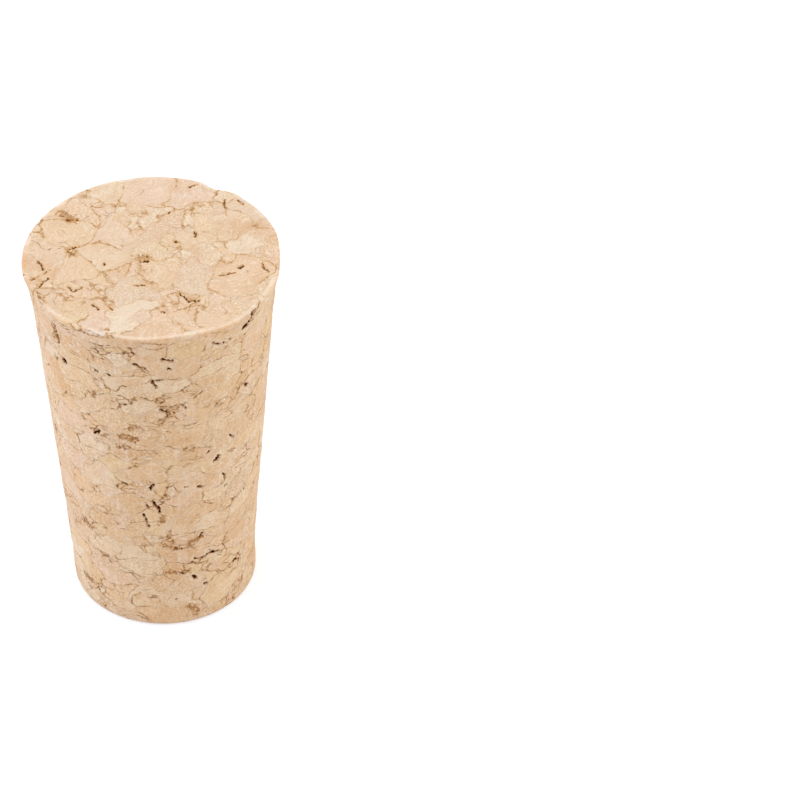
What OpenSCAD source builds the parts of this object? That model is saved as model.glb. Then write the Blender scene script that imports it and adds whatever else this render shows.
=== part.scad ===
// Tapered cork stopper, wide end up.
// One body of bonded cork granules, ground to a taper, cut square at both ends and tumbled,
// so that its two edges are softly rounded. It stands on its narrow end, centred on Z.

/* [Body] */
// Diameter across the wide end, which stays outside the neck
wide_d = 24; // [18:0.5:60]
// Diameter across the narrow end, which goes into the neck first
narrow_d = 17.5; // [8:0.5:23.5]
// Length from the narrow end's face to the wide end's face
length = 39; // [15:0.5:90]

/* [Edges] */
// Radius of the rounding around the wide end's rim
rim_r = 0.3; // [0.1:0.05:1.5]
// Radius of the rounding around the narrow end's foot
foot_r = 0.5; // [0.1:0.05:1.5]

/* [Hidden] */

// Steps in each rounded edge, and in the turn
EDGE_STEPS = 6;
$fn = 96;

function unit(v) = v / norm(v);
function turned(v, a) = [v.x * cos(a) - v.y * sin(a), v.x * sin(a) + v.y * cos(a)];

// Points of the arc of radius r that rounds the corner p, on the way from a to b.
// The outline runs anticlockwise, so that every corner turns left.
function rounded_corner(a, p, b, r) =
    let (
        back = unit(a - p),
        on = unit(b - p),
        half = acos(back * on) / 2,
        centre = p + unit(back + on) * r / sin(half),
        first = p + back * r / tan(half) - centre,
        sweep = 180 - 2 * half
    )
    [for (i = [0:EDGE_STEPS]) centre + turned(first, sweep * i / EDGE_STEPS)];

// Half section: out along the narrow face, up the taper, in along the wide face, down the axis
foot_centre = [0, 0];
foot_edge = [narrow_d / 2, 0];
rim_edge = [wide_d / 2, length];
rim_centre = [0, length];
half_section = concat(
    [foot_centre],
    rounded_corner(foot_centre, foot_edge, rim_edge, foot_r),
    rounded_corner(foot_edge, rim_edge, rim_centre, rim_r),
    [rim_centre]
);

module stopper() {
    color("BurlyWood") rotate_extrude() polygon(half_section);
}

stopper();
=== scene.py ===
import math

import bmesh
import bpy
import numpy as np
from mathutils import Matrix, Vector


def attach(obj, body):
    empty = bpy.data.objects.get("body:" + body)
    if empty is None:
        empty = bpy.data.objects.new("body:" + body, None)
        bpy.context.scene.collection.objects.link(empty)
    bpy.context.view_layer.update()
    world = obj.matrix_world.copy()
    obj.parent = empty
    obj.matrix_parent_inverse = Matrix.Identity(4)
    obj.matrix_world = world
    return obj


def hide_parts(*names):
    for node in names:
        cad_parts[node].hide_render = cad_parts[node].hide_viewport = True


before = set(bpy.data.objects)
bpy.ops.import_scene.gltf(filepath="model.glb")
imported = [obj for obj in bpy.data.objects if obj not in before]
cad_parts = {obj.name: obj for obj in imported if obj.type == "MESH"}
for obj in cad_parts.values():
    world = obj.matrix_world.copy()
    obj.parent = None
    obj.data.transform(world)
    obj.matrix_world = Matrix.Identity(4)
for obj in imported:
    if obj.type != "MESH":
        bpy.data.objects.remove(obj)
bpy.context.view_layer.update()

# ---------------------------------------------------------------- the cork body
# One tapered body of cork granules, 2 to 4 mm across, pressed flat and bonded with glue, then
# ground to its taper on a belt and cut square at both ends. The granules keep their own tones and
# grain, and where they don't quite meet the joints are open, which gives cork its dark flecks.

MM = 0.001
QUARTER = 96  # grid squares along each quarter of the turn, and across each end
RINGS = 186  # rings of squares up the side, rounded edges included
EDGE_RINGS = 5  # of those, on each rounded edge
FOOT_EDGE = 1 * MM  # the foot's rounding lies within this of the foot
RIM_EDGE = 0.5 * MM  # and the rim's within this of the wide end

# The outline of the part, from the flat of its foot to the flat of its wide end
cad_points = np.array([v.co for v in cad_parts["stopper"].data.vertices])
cad_radius = np.hypot(cad_points[:, 0], cad_points[:, 1])
outline = sorted({
    (round(z, 7), round(r, 5)) for z, r in zip(cad_points[:, 2], cad_radius) if r > 2 * MM
})
outline_z, outline_r = np.array(outline).T
length = outline_z[-1]
foot_end = np.searchsorted(outline_z, FOOT_EDGE) - 1
rim_start = np.searchsorted(outline_z, length - RIM_EDGE)

# A box of square faces: each end is a grid and each side a strip, so there is no pole
bm = bmesh.new()
bmesh.ops.create_cube(bm, size=2)
upright = [e for e in bm.edges if abs(e.verts[0].co.z - e.verts[1].co.z) > 1]
bmesh.ops.subdivide_edges(bm, edges=upright, cuts=RINGS - 1, use_grid_fill=True)
level = [e for e in bm.edges if abs(e.verts[0].co.z - e.verts[1].co.z) < 1e-6]
bmesh.ops.subdivide_edges(bm, edges=level, cuts=QUARTER - 1, use_grid_fill=True)
bmesh.ops.recalc_face_normals(bm, faces=bm.faces[:])
mesh = bpy.data.meshes.new("stopper_body")
bm.to_mesh(mesh)
bm.free()

# The box is drawn round: squares of its ends become circles, and its sides follow the outline
box = np.empty(len(mesh.vertices) * 3)
mesh.vertices.foreach_get("co", box)
box = box.reshape(-1, 3)
reach = np.maximum(np.abs(box[:, 0]), np.abs(box[:, 1]))
across = np.abs(box[:, 0]) >= np.abs(box[:, 1])
with np.errstate(divide="ignore", invalid="ignore"):
    slant = np.where(across, box[:, 1] / box[:, 0], box[:, 0] / box[:, 1])
slant = np.nan_to_num(slant) * math.pi / 4
turn = np.where(
    across,
    np.where(box[:, 0] > 0, slant, math.pi + slant),
    np.where(box[:, 1] > 0, math.pi / 2 - slant, -math.pi / 2 - slant),
)
run = np.concatenate([[0], np.cumsum(np.hypot(np.diff(outline_r), np.diff(outline_z)))])
ring = (box[:, 2] + 1) / 2 * RINGS
climb = np.interp(
    ring, [0, EDGE_RINGS, RINGS - EDGE_RINGS, RINGS], [0, run[foot_end], run[rim_start], run[-1]]
)
on_side = reach > 1 - 1e-6
radius = np.interp(climb, run, outline_r)
radius = np.where(on_side, radius, reach * np.where(box[:, 2] > 0, outline_r[-1], outline_r[0]))
height = np.interp(climb, run, outline_z)
place = np.stack([radius * np.cos(turn), radius * np.sin(turn), height], 1)

# Its flat pattern: the side as one strip, cut down the back, and the two ends as discs
loops = np.empty(len(mesh.loops), int)
mesh.loops.foreach_get("vertex_index", loops)
loops = loops.reshape(-1, 4)
corners = box[loops]
face_side = np.ptp(corners[:, :, 2], axis=1) > 1e-6
face_top = corners[:, :, 2].mean(1) > 0
middle = place[loops].mean(1)
face_turn = np.arctan2(middle[:, 1], middle[:, 0])[:, None]
from_middle = (turn[loops] - face_turn + math.pi) % (2 * math.pi) - math.pi
from_back = (face_turn - math.pi / 2) % (2 * math.pi) + from_middle
STRIP = 0.52  # the strip's height on the map
MARGIN = 0.005  # the gap round it
WIDE_DISC = (0.255, 0.765, 0.23)  # centre and radius
NARROW_DISC = (0.735, 0.765, 0.21)
disc = np.where(face_top[:, None], WIDE_DISC, NARROW_DISC)
uv = np.stack([
    np.where(
        face_side[:, None],
        MARGIN + (1 - 2 * MARGIN) * from_back / (2 * math.pi),
        disc[:, 0:1] + disc[:, 2:3] * reach[loops] * np.cos(turn[loops]),
    ),
    np.where(
        face_side[:, None],
        MARGIN + (STRIP - 2 * MARGIN) * (climb / run[-1])[loops],
        disc[:, 1:2] + disc[:, 2:3] * reach[loops] * np.sin(turn[loops]),
    ),
], 2)
mesh.uv_layers.new(name="OFBake").data.foreach_set("uv", uv.ravel())

# Where each point was before wear, in mm, so that colour and relief share one pattern, how far it
# is from the rim of the wide end, and whether the belt ground it
mesh.attributes.new("ground_mm", "FLOAT_VECTOR", "POINT").data.foreach_set(
    "vector", (place / MM).ravel()
)
inset = np.where(on_side, 0, (1 - reach) * np.where(box[:, 2] > 0, outline_r[-1], outline_r[0]))
rim_mm = np.where(box[:, 2] > 0, np.where(on_side, run[-1] - climb, inset), run[-1]) / MM
mesh.attributes.new("rim_mm", "FLOAT", "POINT").data.foreach_set("value", rim_mm)
side_part = np.where(on_side, 1.0, 0.0)
mesh.attributes.new("belt_ground", "FLOAT", "POINT").data.foreach_set("value", side_part)


def hump(value, middle, half):
    """A smooth hump, 1 at its middle and 0 beyond half its width."""
    return np.cos(np.clip((value - middle) / half, -1, 1) * math.pi / 2) ** 2


# The taper isn't quite true. Up the side, mm from the foot and mm proud of the true taper: the
# foot flares, the side is a little hollow, and a burr stands round the wide end
WAVER = [
    (0, 0.15), (1.5, 0.10), (3.5, -0.05), (9, -0.11), (14, -0.10), (24, -0.12), (34, -0.16),
    (36.6, -0.05), (37.8, 0.12), (38.6, 0.30), (39, 0.35),
]
# Round the rim, degrees right of the front, half the width in degrees, and mm proud: the burr is
# broken off at the front left, worn down at the right, and a chip is out at the back
RIM_CHIPS = [
    (45, 22, 0.15), (-62, 14, -0.35), (-43, 12, 0.05), (152, 9, -0.4), (92, 20, -0.22),
    (-166, 6, -0.1), (140, 5, 0.08), (-20, 14, -0.12), (12, 16, -0.14), (-160, 70, 0.12),
]
FLARE = 0.2  # mm that the foot leans out to the front right, dying away over its height
FLARE_AT = 47  # degrees right of the front
FLARE_HEIGHT = 6  # mm
CHIPS_FROM = 36.5  # mm up: the chips and the sag fade in from here
CHIPS_OVER = 2.5  # mm, to their full depth at the rim
SAG = (45, 25, 0.3)  # the wide end sinks here: degrees, half width in degrees, and mm
front = (turn + math.pi / 2 + math.pi) % (2 * math.pi) - math.pi  # turn from the front, right is +
degrees = np.degrees(front)
up = height / MM
out = np.interp(up, *np.array(WAVER).T)
out += FLARE * np.cos(front - math.radians(FLARE_AT)) * np.clip(1 - up / FLARE_HEIGHT, 0, 1) ** 2
rim_band = np.clip((up - CHIPS_FROM) / CHIPS_OVER, 0, 1)
for middle_at, half, proud in RIM_CHIPS:
    turned = (degrees - middle_at + 180) % 360 - 180
    out += rim_band * proud * hump(turned, 0, half)
sag_at, sag_half, sag_depth = SAG
down = rim_band * sag_depth * hump(degrees, sag_at, sag_half)
edge_share = np.where(on_side, 1, reach) ** 8  # wear fades quickly in from the edge of an end
place[:, 0] += out * MM * edge_share * np.cos(turn)
place[:, 1] += out * MM * edge_share * np.sin(turn)
place[:, 2] -= down * MM * edge_share
mesh.vertices.foreach_set("co", place.ravel())
mesh.update()


def node(tree, kind, inputs=(), out=0, **settings):
    """Adds a node with its settings and links, and returns one of its outputs."""
    made = tree.nodes.new(kind)
    for name, value in settings.items():
        setattr(made, name, value)
    for socket, value in inputs.items() if isinstance(inputs, dict) else enumerate(inputs):
        if isinstance(value, bpy.types.NodeSocket):
            tree.links.new(value, made.inputs[socket])
        else:
            made.inputs[socket].default_value = value
    return made.outputs[out] if made.outputs else None


SMOOTH = {"interpolation_type": "SMOOTHSTEP"}


def on_end(x, y):
    """A place on the wide end, mm right of its middle and back."""
    return Vector((x, y, length / MM))


def on_side_at(degrees_right, up_mm):
    """A place on the ground side, turned so far right of the front and so many mm up."""
    angle = math.radians(degrees_right)
    r = np.interp(up_mm * MM, outline_z, outline_r) / MM
    return Vector((r * math.sin(angle), -r * math.cos(angle), up_mm))


# Joints that stayed open: half their width in mm, and the way they run
OPEN_JOINTS = [
    (0.11, [on_end(-1.0, -0.6), on_end(-0.3, -0.5)]),
    (0.03, [on_end(-0.4, 0.1), on_end(-0.3, 0.5)]),
    (0.05, [on_end(-7.7, -4.5), on_end(-7.0, -5.0), on_end(-6.4, -4.5)]),
    (0.08, [on_end(2.8, -5.4), on_end(3.7, -6.5), on_end(4.5, -6.4)]),
    (0.05, [on_end(-10.6, -0.7), on_end(-9.9, -1.8)]),
    (0.06, [on_end(-8.8, 6.1), on_end(-8.0, 5.5), on_end(-7.3, 5.5)]),
    (0.04, [on_end(-7.9, 0.9), on_end(-7.3, 0.2)]),
    (0.06, [on_end(-5.2, -7.0), on_end(-4.7, -7.6)]),
    (0.05, [on_end(3.9, 3.8), on_end(4.0, 3.0)]),
    (0.10, [on_end(2.0, 2.2), on_end(2.1, 2.3)]),
    (0.02, [on_end(3.0, 10.4), on_end(3.8, 10.8)]),
    (0.05, [on_end(-3.6, -7.6), on_end(-3.4, -7.8)]),
    (0.12, [on_end(8.2, -1.5), on_end(8.6, -1.3)]),
    (0.04, [on_end(10.3, -0.8), on_end(10.8, -2.1)]),
    (0.04, [on_end(6.4, 8.5), on_end(6.6, 7.6)]),
    (0.05, [on_end(7.6, 8.3), on_end(8.1, 7.9)]),
    (0.03, [on_end(6.4, -2.7), on_end(7.9, -2.4)]),
    (0.02, [on_end(-10.9, -3.2), on_end(-9.4, -2.0)]),
    (0.03, [on_end(-10.3, -4.4), on_end(-9.5, -3.2)]),
    (0.05, [on_end(1.2, -8.0), on_end(1.4, -8.1)]),
    (0.05, [on_end(-4.4, -0.9), on_end(-4.4, -1.2)]),
    (0.03, [on_end(-1.5, -4.2), on_end(-0.5, -4.2)]),
    (0.19, [on_side_at(51.5, 38.7), on_side_at(53, 37.7)]),
    (0.23, [on_side_at(52, 37.6), on_side_at(50.6, 37.2)]),
    (0.31, [on_side_at(50.6, 37.2), on_side_at(49.2, 36.8)]),
    (0.04, [on_side_at(-31, 38.5), on_side_at(-28, 38.5)]),
    (0.09, [on_side_at(-25, 36.5), on_side_at(-24, 36.3)]),
    (0.07, [on_side_at(-11, 36.7), on_side_at(-7, 37.0)]),
    (0.03, [
        on_side_at(30, 37.0), on_side_at(34, 36.3), on_side_at(39, 36.1), on_side_at(41, 36.4),
    ]),
    (0.08, [on_side_at(-49, 37.3), on_side_at(-48, 34.8)]),
    (0.05, [on_side_at(-28.5, 33.7), on_side_at(-25, 33.4)]),
    (0.06, [on_side_at(-22, 33.5), on_side_at(-19, 33.3)]),
    (0.07, [on_side_at(-7, 35.4), on_side_at(-2, 34.9)]),
    (0.09, [on_side_at(6, 36.0), on_side_at(11, 35.7)]),
    (0.07, [on_side_at(8, 34.8), on_side_at(10, 34.6)]),
    (0.06, [on_side_at(0, 33.2), on_side_at(6, 33.3)]),
    (0.08, [on_side_at(1, 33.0), on_side_at(3.5, 32.3)]),
    (0.26, [on_side_at(-46, 32.7), on_side_at(-46, 32.6)]),
    (0.13, [on_side_at(-31, 25.0), on_side_at(-28, 25.5)]),
    (0.13, [on_side_at(53, 28.8), on_side_at(54, 28.7)]),
    (0.20, [on_side_at(34, 21.0), on_side_at(36, 21.3)]),
    (0.07, [on_side_at(29, 22.5), on_side_at(30, 22.5)]),
    (0.07, [on_side_at(39, 18.8), on_side_at(41, 18.1)]),
    (0.06, [on_side_at(41, 17.0), on_side_at(42, 17.0)]),
    (0.06, [on_side_at(43, 23.5), on_side_at(46, 22.8)]),
    (0.06, [on_side_at(58, 15.2), on_side_at(58, 14.5)]),
    (0.06, [on_side_at(17, 18.6), on_side_at(18, 18.6)]),
    (0.05, [on_side_at(24, 18.2), on_side_at(27, 18.1)]),
    (0.05, [on_side_at(-15, 29.8), on_side_at(-9, 30.1)]),
    (0.07, [on_side_at(4, 29.4), on_side_at(6, 29.2)]),
    (0.05, [on_side_at(14, 29.8), on_side_at(17, 29.3)]),
    (0.12, [on_side_at(-2, 18.8), on_side_at(0, 19.3)]),
    (0.10, [on_side_at(-1, 17.2), on_side_at(2.2, 15.6)]),
    (0.07, [on_side_at(-7, 15.2), on_side_at(-4.5, 13.6)]),
    (0.06, [on_side_at(-5, 16.8), on_side_at(-4, 16.2)]),
    (0.07, [on_side_at(-17, 19.3), on_side_at(-15, 19.0)]),
    (0.07, [on_side_at(12, 6.9), on_side_at(15, 6.6)]),
    (0.08, [on_side_at(29, 4.6), on_side_at(30, 4.6)]),
    (0.07, [on_side_at(10, 3.2), on_side_at(11, 3.1)]),
    (0.08, [on_side_at(11, 10.4), on_side_at(14, 10.2)]),
    (0.09, [on_side_at(25, 11.3), on_side_at(27, 11.8)]),
    (0.05, [on_side_at(21, 8.4), on_side_at(27, 8.2)]),
    (0.12, [on_side_at(27, 8.2), on_side_at(34, 8.5)]),
    (0.04, [on_side_at(34, 8.5), on_side_at(40, 8.1)]),
    (0.14, [on_side_at(21, 6.0), on_side_at(23, 5.7)]),
]
# Joints that only show as a brown seam
SEAMS = [
    (0.05, [on_end(-11.4, 3.9), on_end(-11.1, 2.4), on_end(-10.0, 1.0), on_end(-8.6, 1.3)]),
    (0.05, [on_end(2.8, -5.4), on_end(1.9, -4.6)]),
    (0.07, [on_end(3.9, -7.2), on_end(3.6, -8.4)]),
    (0.05, [on_end(1.3, 4.8), on_end(2.4, 4.3), on_end(3.3, 4.9), on_end(3.9, 3.8)]),
    (0.05, [on_end(1.9, 0.0), on_end(2.9, 1.3)]),
    (0.05, [on_end(-0.3, -1.2), on_end(0.6, -2.7)]),
    (0.05, [on_end(2.0, -8.8), on_end(2.6, -9.4), on_end(3.2, -10.7)]),
    (0.07, [on_side_at(-45, 38.3), on_side_at(-31, 38.5), on_side_at(-21, 38.5)]),
    (0.06, [on_side_at(-38, 37.6), on_side_at(-26, 37.2), on_side_at(-15, 37.6)]),
    (0.05, [on_side_at(-25, 36.5), on_side_at(-18, 36.5), on_side_at(-7, 37.0)]),
    (0.05, [on_side_at(-8, 35.5), on_side_at(0, 34.5)]),
    (0.05, [on_side_at(4, 29.6), on_side_at(16, 29.8), on_side_at(22, 30.4)]),
    (0.09, [on_side_at(22, 30.4), on_side_at(26, 31.0)]),
    (0.05, [
        on_side_at(-12, 27.5), on_side_at(-4, 27.2), on_side_at(4, 26.6), on_side_at(13, 26.2),
    ]),
    (0.05, [on_side_at(-58, 21.8), on_side_at(-66, 19.5), on_side_at(-77, 17.0)]),
    (0.06, [on_side_at(-61, 26.4), on_side_at(-62, 25.0)]),
    (0.05, [on_side_at(-25, 12.6), on_side_at(-12, 12.9)]),
    (0.05, [on_side_at(-12, 18.2), on_side_at(-7, 17.6)]),
    (0.06, [on_side_at(27, 16.0), on_side_at(40, 14.5)]),
    (0.06, [on_side_at(-32, 29.8), on_side_at(-20, 30.0), on_side_at(-9, 30.2)]),
    (0.06, [
        on_side_at(-32, 29.9), on_side_at(-21, 31.0), on_side_at(-14, 31.0), on_side_at(-8, 30.4),
    ]),
    (0.05, [on_side_at(-1, 11.8), on_side_at(8, 12.3), on_side_at(18, 12.3), on_side_at(28, 11.7)]),
    (0.07, [on_side_at(5, 10.6), on_side_at(13, 10.1), on_side_at(20, 10.5), on_side_at(27, 11.3)]),
    (0.06, [on_side_at(31, 9.0), on_side_at(40, 7.6)]),
    (0.05, [on_side_at(-42, 8.5), on_side_at(-36, 8.1)]),
]
# Bits of bark pressed in with the rest
BARK_BITS = [
    (0.45, [on_end(-8.5, 6.4), on_end(-7.6, 5.5)]),
    (0.22, [on_end(-7.2, 0.4), on_end(-8.0, 0.9)]),
    (0.4, [on_end(-1.2, -0.1), on_end(-0.5, 0.0)]),
    (0.30, [on_side_at(-16, 25.5), on_side_at(-9, 25.4)]),
    (0.22, [on_side_at(-18, 24.1), on_side_at(-13, 24.1)]),
    (0.40, [on_side_at(-48, 11.6), on_side_at(-44, 11.2)]),
    (0.30, [on_side_at(-56, 3.2), on_side_at(-51, 3.0)]),
    (0.25, [on_side_at(3, 14.9), on_side_at(3, 14.2)]),
    (0.18, [on_side_at(3, 11.1), on_side_at(12, 10.5)]),
    (0.28, [on_side_at(18, 10.8), on_side_at(26, 11.4)]),
    (0.22, [on_side_at(5, 7.2), on_side_at(19, 6.9)]),
    (0.25, [on_side_at(18, 2.2), on_side_at(23, 1.2)]),
    (0.20, [on_side_at(-50, 37.0), on_side_at(-49, 35.4)]),
]
# Slivers split off pale at the rim
SLIVERS = [
    (0.35, [on_end(-5.5, -10.6), on_end(-4.2, -11.1)]),
    (0.15, [on_side_at(62, 38.4), on_side_at(66, 37.9)]),
]
# Soft orange stains in the wood of single granules
STAINS = [
    (0.8, [on_end(8.2, 4.6), on_end(11.6, 2.8)]),
    (0.7, [on_end(-10.6, -3.4), on_end(-9.4, -2.4)]),
    (0.8, [on_end(-11.3, -0.8), on_end(-10.2, -1.6)]),
    (0.1, [on_end(3.5, -5.6), on_end(4.3, -6.1)]),
    (0.2, [on_end(3.5, -7.4), on_end(3.9, -8.0)]),
    (0.2, [on_end(-5.0, -7.2), on_end(-3.8, -7.5)]),
    (0.4, [on_side_at(23, 32.4), on_side_at(36, 31.6)]),
    (0.9, [on_side_at(-56, 31.2), on_side_at(-48, 29.2)]),
    (0.3, [on_side_at(-19, 23.3), on_side_at(-1, 23.6)]),
    (0.5, [on_side_at(10, 24.6), on_side_at(18, 24.9)]),
    (0.2, [on_side_at(5, 11.3), on_side_at(24, 11.4)]),
]


def nearest(tree, at, marks):
    """How far outside the nearest of some marks a place is, in mm."""
    least = None
    for half, points in marks:
        for start, end in zip(points, points[1:]):
            line = end - start
            gone = node(tree, "ShaderNodeVectorMath", [at, start], operation="SUBTRACT")
            along = node(
                tree, "ShaderNodeVectorMath", [gone, line / line.length_squared], 1,
                operation="DOT_PRODUCT",
            )
            along = node(tree, "ShaderNodeClamp", [along])
            foot = node(tree, "ShaderNodeVectorMath", {0: line, "Scale": along}, operation="SCALE")
            away = node(tree, "ShaderNodeVectorMath", [gone, foot], 1, operation="DISTANCE")
            away = node(tree, "ShaderNodeMath", [away, half], operation="SUBTRACT")
            if least:
                away = node(tree, "ShaderNodeMath", [least, away], operation="MINIMUM")
            least = away
    return least


GRANULE = (3.7, 3.7, 2.0)  # mm across and high: they were pressed flat
CRUMB = 2.4  # how many times smaller the crumbs of a crushed granule are
CRUSHED = 0.21  # the share of granules that are crushed
EDGE_MM = 2.5  # mm to a granule's edge, for one unit of its cell pattern
CRUMB_EDGE_MM = 1.15  # and to a crumb's edge


def granules(tree, at, belt):
    """The granules round a place in mm: how near the joint is, how open, and what each is like."""
    # The cells are bent out of true, and some are crushed to crumbs
    bend = node(
        tree, "ShaderNodeTexNoise", {"Vector": at, "Scale": 0.3, "Detail": 3, "Roughness": 0.52}, 1
    )
    moved = node(
        tree, "ShaderNodeVectorMath", [bend, (4.0, 4.0, 2.6), at], operation="MULTIPLY_ADD"
    )
    scaled = tuple(1 / size for size in GRANULE)
    packed = node(tree, "ShaderNodeVectorMath", [moved, scaled], operation="MULTIPLY")
    big = node(tree, "ShaderNodeTexVoronoi", {"Vector": packed, "Scale": 1.0}, 1, feature="F1")
    big_edge = node(
        tree, "ShaderNodeTexVoronoi", {"Vector": packed, "Scale": 1.0}, feature="DISTANCE_TO_EDGE"
    )
    big_edge = node(tree, "ShaderNodeMath", [big_edge, EDGE_MM], operation="MULTIPLY")
    small = node(tree, "ShaderNodeTexVoronoi", {"Vector": packed, "Scale": CRUMB}, 1, feature="F1")
    small_edge = node(
        tree, "ShaderNodeTexVoronoi", {"Vector": packed, "Scale": CRUMB}, feature="DISTANCE_TO_EDGE"
    )
    small_edge = node(tree, "ShaderNodeMath", [small_edge, CRUMB_EDGE_MM], operation="MULTIPLY")
    both_edges = node(tree, "ShaderNodeMath", [big_edge, small_edge], operation="MINIMUM")
    odds = node(tree, "ShaderNodeSeparateXYZ", [big], 2)
    crushed = node(tree, "ShaderNodeMath", [odds, 1 - CRUSHED], operation="GREATER_THAN")
    edge = node(tree, "ShaderNodeMix", {0: crushed, 2: big_edge, 3: both_edges}, data_type="FLOAT")
    own = node(tree, "ShaderNodeMix", {0: crushed, 4: big, 5: small}, 1, data_type="VECTOR")
    loose = node(
        tree, "ShaderNodeTexNoise", {"Vector": at, "Scale": 0.5, "Detail": 4, "Roughness": 0.62}
    )
    ragged = node(
        tree, "ShaderNodeTexNoise", {"Vector": at, "Scale": 3.2, "Detail": 2, "Roughness": 0.6}
    )
    # Placed marks are drawn through a slight sway, so that they wander as real joints do
    sway = node(tree, "ShaderNodeTexNoise", {"Vector": at, "Scale": 1.3, "Detail": 2}, 1)
    sway = node(tree, "ShaderNodeVectorMath", [sway, (0.5, 0.5, 0.5)], operation="SUBTRACT")
    swayed = node(
        tree, "ShaderNodeVectorMath", [sway, (0.6, 0.6, 0.5), at], operation="MULTIPLY_ADD"
    )
    # How wide the joint gapes, in mm: less on the cut ends than on the ground side
    gape = node(tree, "ShaderNodeMapRange", [loose, 0.62, 0.73, -0.28, 0.12], **SMOOTH)
    ragged_gape = node(tree, "ShaderNodeMapRange", [ragged, 0.35, 0.65, -0.15, 0.08], **SMOOTH)
    gape = node(tree, "ShaderNodeMath", [gape, ragged_gape], operation="ADD")
    shut = node(tree, "ShaderNodeMapRange", [belt, 0, 1, 0.08, 0.0], **SMOOTH)
    gape = node(tree, "ShaderNodeMath", [gape, shut], operation="SUBTRACT")
    slack = node(tree, "ShaderNodeMath", [edge, gape], operation="SUBTRACT")
    rough_lip = node(tree, "ShaderNodeMapRange", [ragged, 0.3, 0.7, 0.07, -0.07], **SMOOTH)
    opened = node(
        tree, "ShaderNodeMath", [nearest(tree, swayed, OPEN_JOINTS), rough_lip], operation="ADD"
    )
    slack = node(tree, "ShaderNodeMath", [slack, opened], operation="MINIMUM")
    return {"edge": edge, "small_edge": small_edge, "own": own, "loose": loose, "ragged": ragged,
            "slack": slack, "moved": moved, "swayed": swayed}


# The relief: open joints are grooves, and each granule stands a little higher or lower than its
# neighbours
GROOVE = 0.3  # mm deep
STEP = 0.05  # mm between the highest and lowest granule

relief = bpy.data.node_groups.new("cork_relief", "GeometryNodeTree")
relief.interface.new_socket("Geometry", in_out="INPUT", socket_type="NodeSocketGeometry")
relief.interface.new_socket("Geometry", in_out="OUTPUT", socket_type="NodeSocketGeometry")
taken = node(relief, "NodeGroupInput")
at = node(
    relief, "GeometryNodeInputNamedAttribute", {"Name": "ground_mm"}, data_type="FLOAT_VECTOR"
)
belt = node(
    relief, "GeometryNodeInputNamedAttribute", {"Name": "belt_ground"}, data_type="FLOAT"
)
cork = granules(relief, at, belt)
own = node(relief, "ShaderNodeSeparateXYZ", [cork["own"]], 1)
depth = node(relief, "ShaderNodeMapRange", [cork["slack"], 0.12, -0.08, 0, GROOVE * MM], **SMOOTH)
depth = node(relief, "ShaderNodeMath", [own, STEP * MM, depth], operation="MULTIPLY_ADD")
off_foot = node(relief, "ShaderNodeSeparateXYZ", [at], 2)
off_foot = node(relief, "ShaderNodeMapRange", [off_foot, 0.0, 0.4, 0, -1], **SMOOTH)
depth = node(relief, "ShaderNodeMath", [depth, off_foot], operation="MULTIPLY")
normal = node(relief, "GeometryNodeInputNormal")
shift = node(relief, "ShaderNodeVectorMath", {0: normal, "Scale": depth}, operation="SCALE")
worn = node(relief, "GeometryNodeSetPosition", {"Geometry": taken, "Offset": shift})
node(relief, "NodeGroupOutput", [worn])

stopper = bpy.data.objects.new("cork_body", mesh)
bpy.context.scene.collection.objects.link(stopper)
stopper.modifiers.new("relief", "NODES").node_group = relief
mesh.polygons.foreach_set("use_smooth", [True] * len(mesh.polygons))


def hex_colour(text):
    """An sRGB hex colour as linear RGBA."""
    parts = [int(text[i:i + 2], 16) / 255 for i in (1, 3, 5)]
    return tuple(c / 12.92 if c <= 0.04045 else ((c + 0.055) / 1.055) ** 2.4 for c in parts) + (1,)


# Bonded cork, ground and left bare: matt, with a faint bloom of dust that pales it edge on
LAID = {"data_type": "RGBA"}  # one colour laid over another
cork_look = bpy.data.materials.new("bonded_cork_ground")
cork_look.use_nodes = True
tree = cork_look.node_tree
tree.nodes.clear()
at = node(tree, "ShaderNodeAttribute", out=1, attribute_name="ground_mm")
rim = node(tree, "ShaderNodeAttribute", out=2, attribute_name="rim_mm")
belt = node(tree, "ShaderNodeAttribute", out=2, attribute_name="belt_ground")
cork = granules(tree, at, belt)
edge, ragged, loose, slack = (cork[k] for k in ("edge", "ragged", "loose", "slack"))
parts = node(tree, "ShaderNodeSeparateXYZ", [cork["own"]]).node.outputs

# Each granule's own tone
colour = node(tree, "ShaderNodeValToRGB", [parts[0]])
TONES = [
    (0.0, "#F0D8B8"), (0.18, "#ECCDA3"), (0.36, "#EAC4A4"), (0.54, "#E9C795"), (0.72, "#EBC094"),
    (0.86, "#E2C29F"), (1.0, "#E0B07E"),
]
elements = colour.node.color_ramp.elements
while len(elements) < len(TONES):
    elements.new(0.5)
for element, (spot, tone) in zip(elements, TONES):
    element.position = spot
    element.color = hex_colour(tone)

# Warm clouds inside some granules, orange stains, and paler wood
cloud = node(
    tree, "ShaderNodeTexNoise",
    {"Vector": cork["moved"], "Scale": 0.42, "Detail": 3, "Roughness": 0.6},
)
cloud = node(tree, "ShaderNodeMath", [parts[1], 0.18, cloud], operation="MULTIPLY_ADD")
cloud = node(tree, "ShaderNodeMapRange", [cloud, 0.58, 0.82, 0, 0.65], **SMOOTH)
colour = node(tree, "ShaderNodeMix", {0: cloud, 6: colour, 7: hex_colour("#DFAE7C")}, 2, **LAID)
warm = node(
    tree, "ShaderNodeTexNoise", {"Vector": at, "Scale": 0.33, "Detail": 1, "Roughness": 0.5}
)
warm = node(tree, "ShaderNodeMapRange", [warm, 0.52, 0.74, 0, 0.6], **SMOOTH)
colour = node(tree, "ShaderNodeMix", {0: warm, 6: colour, 7: hex_colour("#DDB083")}, 2, **LAID)
stained = nearest(tree, cork["swayed"], STAINS)
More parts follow.
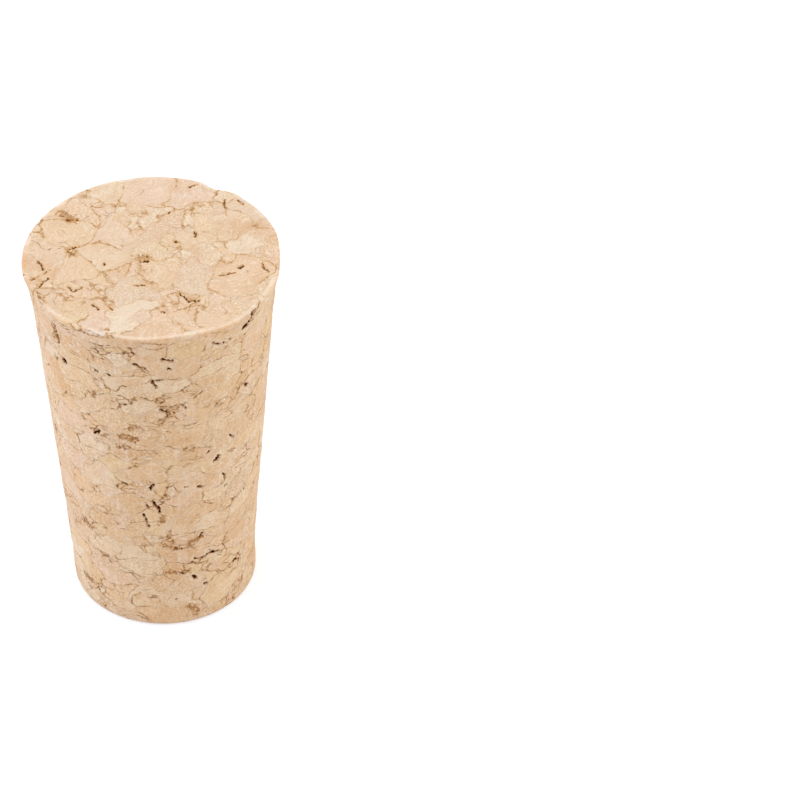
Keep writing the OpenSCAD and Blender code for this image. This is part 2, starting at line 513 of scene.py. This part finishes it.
stained = node(tree, "ShaderNodeMapRange", [stained, 0.6, -0.4, 0, 0.7], **SMOOTH)
colour = node(tree, "ShaderNodeMix", {0: stained, 6: colour, 7: hex_colour("#D99E63")}, 2, **LAID)
pale = node(
    tree, "ShaderNodeTexNoise", {"Vector": at, "Scale": 0.8, "Detail": 4, "Roughness": 0.65}
)
pale = node(tree, "ShaderNodeMapRange", [pale, 0.5, 0.75, 0, 0.5], **SMOOTH)
colour = node(tree, "ShaderNodeMix", {0: pale, 6: colour, 7: hex_colour("#F2E2D0")}, 2, **LAID)

# The cut ends are paler and more even; the belt leaves the side a little browner
bloom = node(tree, "ShaderNodeMapRange", [belt, 0, 1, 0.38, 0.0], **SMOOTH)
colour = node(tree, "ShaderNodeMix", {0: bloom, 6: colour, 7: hex_colour("#DDC5AB")}, 2, **LAID)
burnish = node(tree, "ShaderNodeMapRange", [belt, 0, 1, 0.0, 0.28], **SMOOTH)
colour = node(tree, "ShaderNodeMix", {0: burnish, 6: colour, 7: hex_colour("#EAB67F")}, 2, **LAID)

# Growth lines, each granule's lying its own way: rows of cells, drawn 0.12 mm apart where the real
# ones are 0.04 mm, so that they show
ROWS_PER_MM = (1.2, 8.5, 2.5)  # along a row, across the rows, and through them
lie = node(tree, "ShaderNodeVectorMath", [cork["own"], (0.5, 0.5, 0.5)], operation="SUBTRACT")
lie = node(tree, "ShaderNodeVectorMath", [lie], operation="NORMALIZE")
angle = node(tree, "ShaderNodeMath", [parts[2], 6.0], operation="MULTIPLY")
spun = node(
    tree, "ShaderNodeVectorRotate", {"Vector": cork["moved"], "Axis": lie, "Angle": angle},
    rotation_type="AXIS_ANGLE",
)
drawn = node(tree, "ShaderNodeVectorMath", [spun, ROWS_PER_MM], operation="MULTIPLY")
grain = node(
    tree, "ShaderNodeTexNoise", {"Vector": drawn, "Scale": 1.0, "Detail": 2, "Roughness": 0.6}
)
grain_dark = node(tree, "ShaderNodeMapRange", [grain, 0.5, 0.72, 0, 0.42], **SMOOTH)
colour = node(
    tree, "ShaderNodeMix", {0: grain_dark, 6: colour, 7: hex_colour("#CDA57E")}, 2, **LAID
)
grain_pale = node(tree, "ShaderNodeMapRange", [grain, 0.5, 0.28, 0, 0.38], **SMOOTH)
colour = node(
    tree, "ShaderNodeMix", {0: grain_pale, 6: colour, 7: hex_colour("#FAE9D2")}, 2, **LAID
)

# Cut cells: a fine speckle. The cells are 0.04 mm across and are drawn at 0.2 mm, so that they show
CELL = 0.2  # mm, as drawn
speck = node(
    tree, "ShaderNodeTexNoise", {"Vector": at, "Scale": 1 / CELL, "Detail": 3, "Roughness": 0.8}
)
speck_depth = node(tree, "ShaderNodeMapRange", [parts[2], 0, 1, 0.15, 0.75], **SMOOTH)
speck_dark = node(tree, "ShaderNodeMapRange", [speck, 0.5, 0.66, 0, speck_depth], **SMOOTH)
colour = node(
    tree, "ShaderNodeMix", {0: speck_dark, 6: colour, 7: hex_colour("#BE9C7A")}, 2, **LAID
)
speck_pale = node(tree, "ShaderNodeMapRange", [speck, 0.49, 0.33, 0, speck_depth], **SMOOTH)
colour = node(
    tree, "ShaderNodeMix", {0: speck_pale, 6: colour, 7: hex_colour("#FFEDD3")}, 2, **LAID
)

# The belt's own marks: faint streaks up the side, 0.4 mm wide where a 60 grit belt leaves 0.25 mm
STREAKS_PER_MM = 2.4
LONG = (1, 1, 0.03)  # the streaks are drawn out up the side
streak = node(tree, "ShaderNodeVectorMath", [at, LONG], operation="MULTIPLY")
streak = node(
    tree, "ShaderNodeTexNoise",
    {"Vector": streak, "Scale": STREAKS_PER_MM, "Detail": 2, "Roughness": 0.6},
)
streak_dark = node(tree, "ShaderNodeMapRange", [streak, 0.5, 0.8, 0, 0.2], **SMOOTH)
streak_dark = node(tree, "ShaderNodeMath", [streak_dark, belt], operation="MULTIPLY")
colour = node(
    tree, "ShaderNodeMix", {0: streak_dark, 6: colour, 7: hex_colour("#C59D74")}, 2, **LAID
)
streak_pale = node(tree, "ShaderNodeMapRange", [streak, 0.5, 0.2, 0, 0.22], **SMOOTH)
streak_pale = node(tree, "ShaderNodeMath", [streak_pale, belt], operation="MULTIPLY")
colour = node(
    tree, "ShaderNodeMix", {0: streak_pale, 6: colour, 7: hex_colour("#FBEEE0")}, 2, **LAID
)

# Slivers, where fresh wood shows
sliver = nearest(tree, cork["swayed"], SLIVERS)
sliver = node(tree, "ShaderNodeMapRange", [sliver, 0.12, -0.12, 0, 0.7], **SMOOTH)
colour = node(tree, "ShaderNodeMix", {0: sliver, 6: colour, 7: hex_colour("#F8EBDA")}, 2, **LAID)

# Joints: the lip on each side is a painted highlight, pale where the rounded granule edges would
# catch the light; glue shows amber where they are loose, and a dark hairline comes and goes. Short
# checks run on into the granules
# Painted highlight: the granule edges beside each joint are laid pale, standing in for the light
# they catch
painted_edge_highlight = node(tree, "ShaderNodeMapRange", [slack, 0.5, 0.25, 0, 0.3], **SMOOTH)
colour = node(tree, "ShaderNodeMix", {0: painted_edge_highlight, 6: colour, 7: hex_colour("#F6E4CF")}, 2, **LAID)
kept = node(tree, "ShaderNodeMapRange", [belt, 0, 1, 0.85, 1.0], **SMOOTH)
glue = node(tree, "ShaderNodeMapRange", [edge, 0.16, 0.02, 0, 1], **SMOOTH)
glue_part = node(tree, "ShaderNodeMapRange", [loose, 0.45, 0.62, 0.1, 0.45], **SMOOTH)
glue = node(tree, "ShaderNodeMath", [glue, glue_part], operation="MULTIPLY")
glue = node(tree, "ShaderNodeMath", [glue, kept], operation="MULTIPLY")
colour = node(tree, "ShaderNodeMix", {0: glue, 6: colour, 7: hex_colour("#CF9450")}, 2, **LAID)
broken = node(tree, "ShaderNodeMapRange", [loose, 0.43, 0.62, 0.13, 0.95], **SMOOTH)
flicker = node(tree, "ShaderNodeMapRange", [ragged, 0.42, 0.56, 0.12, 1], **SMOOTH)
broken = node(tree, "ShaderNodeMath", [broken, flicker], operation="MULTIPLY")
broken = node(tree, "ShaderNodeMath", [broken, kept], operation="MULTIPLY")
hair = node(tree, "ShaderNodeMapRange", [edge, 0.078, 0.016, 0, 1], **SMOOTH)
hair = node(tree, "ShaderNodeMath", [hair, broken], operation="MULTIPLY")
check = node(tree, "ShaderNodeMapRange", [cork["small_edge"], 0.07, 0.015, 0, 1], **SMOOTH)
check_part = node(tree, "ShaderNodeTexNoise", {"Vector": at, "Scale": 0.7, "Detail": 3})
check_part = node(tree, "ShaderNodeMapRange", [check_part, 0.57, 0.7, 0, 0.45], **SMOOTH)
check = node(tree, "ShaderNodeMath", [check, check_part], operation="MULTIPLY")
check = node(tree, "ShaderNodeMath", [check, kept], operation="MULTIPLY")
hair = node(tree, "ShaderNodeMath", [hair, check], operation="MAXIMUM")
seam = nearest(tree, cork["swayed"], SEAMS)
seam = node(tree, "ShaderNodeMapRange", [seam, 0.03, -0.02, 0, 1], **SMOOTH)
seam_part = node(tree, "ShaderNodeMapRange", [ragged, 0.36, 0.55, 0.2, 0.85], **SMOOTH)
seam = node(tree, "ShaderNodeMath", [seam, seam_part], operation="MULTIPLY")
seam = node(tree, "ShaderNodeMath", [seam, kept], operation="MULTIPLY")
line = node(tree, "ShaderNodeMath", [hair, seam], operation="MAXIMUM")
line_tone = node(tree, "ShaderNodeMix", {
    0: belt, 6: hex_colour("#94602A"), 7: hex_colour("#784014"),
}, 2, **LAID)
colour = node(tree, "ShaderNodeMix", {0: line, 6: colour, 7: line_tone}, 2, **LAID)

# Bark: brown, crumbly bits, a few of them wherever the pattern puts them and the rest placed
BARK_PER_MM = 0.55  # places where a bit may lie
bits = node(
    tree, "ShaderNodeTexVoronoi", {"Vector": cork["moved"], "Scale": BARK_PER_MM}, feature="F1"
)
bits_own = node(tree, "ShaderNodeSeparateXYZ", [bits.node.outputs[1]])
bits = node(tree, "ShaderNodeMath", [bits, BARK_PER_MM], operation="DIVIDE")
bit_size = node(tree, "ShaderNodeMapRange", [bits_own, 0.82, 1.0, -1, 0.5], **SMOOTH)
bits = node(tree, "ShaderNodeMath", [bits, bit_size], operation="SUBTRACT")
bark = node(
    tree, "ShaderNodeMath", [bits, nearest(tree, at, BARK_BITS)], operation="MINIMUM"
)
bark_lip = node(tree, "ShaderNodeMapRange", [ragged, 0.3, 0.7, 0.3, -0.3], **SMOOTH)
bark = node(tree, "ShaderNodeMath", [bark, bark_lip], operation="ADD")
bark = node(tree, "ShaderNodeMapRange", [bark, 0.15, -0.15, 0, 0.9], **SMOOTH)
bark = node(tree, "ShaderNodeMath", [bark, kept], operation="MULTIPLY")
bark_tone = node(tree, "ShaderNodeMapRange", [speck, 0.41, 0.65, 0, 1], **SMOOTH)
bark_tone = node(tree, "ShaderNodeMix", {
    0: bark_tone, 6: hex_colour("#C6915B"), 7: hex_colour("#6E3A18"),
}, 2, **LAID)
colour = node(tree, "ShaderNodeMix", {0: bark, 6: colour, 7: bark_tone}, 2, **LAID)

# Open joints: a brown shoulder and a dark bottom, lighter on the cut ends
glow = node(tree, "ShaderNodeMapRange", [slack, 0.55, 0.08, 0, 1], **SMOOTH)
glow_part = node(tree, "ShaderNodeMapRange", [belt, 0, 1, 0.42, 0.18], **SMOOTH)
glow = node(tree, "ShaderNodeMath", [glow, glow_part], operation="MULTIPLY")
colour = node(tree, "ShaderNodeMix", {0: glow, 6: colour, 7: hex_colour("#D9A864")}, 2, **LAID)
shoulder = node(tree, "ShaderNodeMapRange", [slack, 0.12, 0.0, 0, 0.85], **SMOOTH)
colour = node(tree, "ShaderNodeMix", {0: shoulder, 6: colour, 7: hex_colour("#A0622A")}, 2, **LAID)
bottom = node(tree, "ShaderNodeMapRange", [slack, 0.03, -0.05, 0, 1], **SMOOTH)
bottom_tone = node(tree, "ShaderNodeMix", {
    0: belt, 6: hex_colour("#5A2E06"), 7: hex_colour("#3C1600"),
}, 2, **LAID)
colour = node(tree, "ShaderNodeMix", {0: bottom, 6: colour, 7: bottom_tone}, 2, **LAID)

# The burr at the rim is paler along its edge, in a broken line
rim_pale_line = node(tree, "ShaderNodeMapRange", [rim, 0.3, 0.04, 0, 0.4], **SMOOTH)
rim_pale_line_part = node(tree, "ShaderNodeMapRange", [loose, 0.6, 0.4, 0.1, 1], **SMOOTH)
rim_pale_line = node(tree, "ShaderNodeMath", [rim_pale_line, rim_pale_line_part], operation="MULTIPLY")
colour = node(tree, "ShaderNodeMix", {0: rim_pale_line, 6: colour, 7: hex_colour("#FAEBDC")}, 2, **LAID)

# Fine roughness, in mm: the speckle of cut cells and the growth lines
CELL_DEPTH = 0.09
ROW_DEPTH = 0.03
height_mm = node(tree, "ShaderNodeMath", [speck, CELL_DEPTH], operation="MULTIPLY")
height_mm = node(tree, "ShaderNodeMath", [grain, ROW_DEPTH, height_mm], operation="MULTIPLY_ADD")
normal = node(tree, "ShaderNodeBump", {"Height": height_mm, "Distance": MM, "Strength": 1.0})
shader = node(tree, "ShaderNodeBsdfPrincipled", {
    "Base Color": colour, "Roughness": 0.9, "IOR": 1.4, "Specular IOR Level": 0.05,
    "Sheen Weight": 0.03, "Sheen Roughness": 0.3, "Normal": normal,
})
node(tree, "ShaderNodeOutputMaterial", {"Surface": shader})
mesh.materials.append(cork_look)

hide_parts("stopper")
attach(stopper, "root")

# ---------------------------------------------------------------- the table it stands on
# A plain white sweep, lit until it is white, that keeps the stopper's soft shadow. It lies a hair
# under the foot, so that the two faces don't share a plane.

bm = bmesh.new()
bmesh.ops.create_grid(bm, x_segments=1, y_segments=1, size=1.5)
bmesh.ops.translate(bm, verts=bm.verts, vec=(0, 0, -0.02 * MM))
floor_mesh = bpy.data.meshes.new("floor")
bm.to_mesh(floor_mesh)
bm.free()
floor = bpy.data.objects.new("floor", floor_mesh)
bpy.context.scene.collection.objects.link(floor)
paper = bpy.data.materials.new("white_paper")
paper.use_nodes = True
tree = paper.node_tree
tree.nodes.clear()
seen = node(tree, "ShaderNodeLightPath")
plain = node(tree, "ShaderNodeBsdfDiffuse", [hex_colour("#E7E7E7")])
shadowed = node(tree, "ShaderNodeBsdfDiffuse", [hex_colour("#BCBCBC")])
glow = node(tree, "ShaderNodeEmission", {"Color": hex_colour("#FFFFFF"), "Strength": 0.58})
shown = node(tree, "ShaderNodeAddShader", [shadowed, glow])
surface = node(tree, "ShaderNodeMixShader", [seen, plain, shown])
node(tree, "ShaderNodeOutputMaterial", [surface])
floor_mesh.materials.append(paper)

# ---------------------------------------------------------------- the studio
# A white tent all round gives most of the light; two soft boxes at the sides and one overhead
# lift the top and the turning edges over the front.

world = bpy.data.worlds.new("white_tent")
bpy.context.scene.world = world
world.use_nodes = True
tree = world.node_tree
tree.nodes.clear()
seen = node(tree, "ShaderNodeLightPath")
tent = node(tree, "ShaderNodeBackground", {"Color": hex_colour("#FFFFFF"), "Strength": 0.74})
white = node(tree, "ShaderNodeBackground", {"Color": hex_colour("#FFFFFF"), "Strength": 1.0})
node(tree, "ShaderNodeOutputWorld", [node(tree, "ShaderNodeMixShader", [seen, tent, white])])

for name, spot, power, tint in (
    ("left_box", (-0.45, 0.0, 0.16), 2.15, "#C0D8FF"),
    ("right_box", (0.45, 0.0, 0.16), 1.25, "#DCEBFF"),
    ("top_box", (0.0, 0.0, 0.55), 0.75, "#FFFFFF"),
):
    lamp = bpy.data.lights.new(name, "AREA")
    lamp.energy = power
    lamp.size = 0.5
    lamp.color = hex_colour(tint)[:3]
    held = bpy.data.objects.new(name, lamp)
    held.location = spot
    aim = Vector((0, 0, length / 2)) - Vector(spot)
    held.rotation_euler = aim.to_track_quat("-Z", "Y").to_euler()
    bpy.context.scene.collection.objects.link(held)

# ---------------------------------------------------------------- the camera
# A long lens looking down on the stopper, which stands left of the middle of the frame.

LOOKING_DOWN = math.radians(40.5)
AIM = Vector((23.33, 24.9, 0)) * MM
BACK = 514.5 * MM
camera_data = bpy.data.cameras.new("camera")
camera_data.lens = 225
camera_data.sensor_width = 36
camera = bpy.data.objects.new("camera", camera_data)
away = Vector((0, -math.cos(LOOKING_DOWN), math.sin(LOOKING_DOWN)))
camera.location = AIM + away * BACK
camera.rotation_euler = away.to_track_quat("Z", "Y").to_euler()
bpy.context.scene.collection.objects.link(camera)
bpy.context.scene.camera = camera
bpy.context.scene.view_settings.view_transform = "Standard"
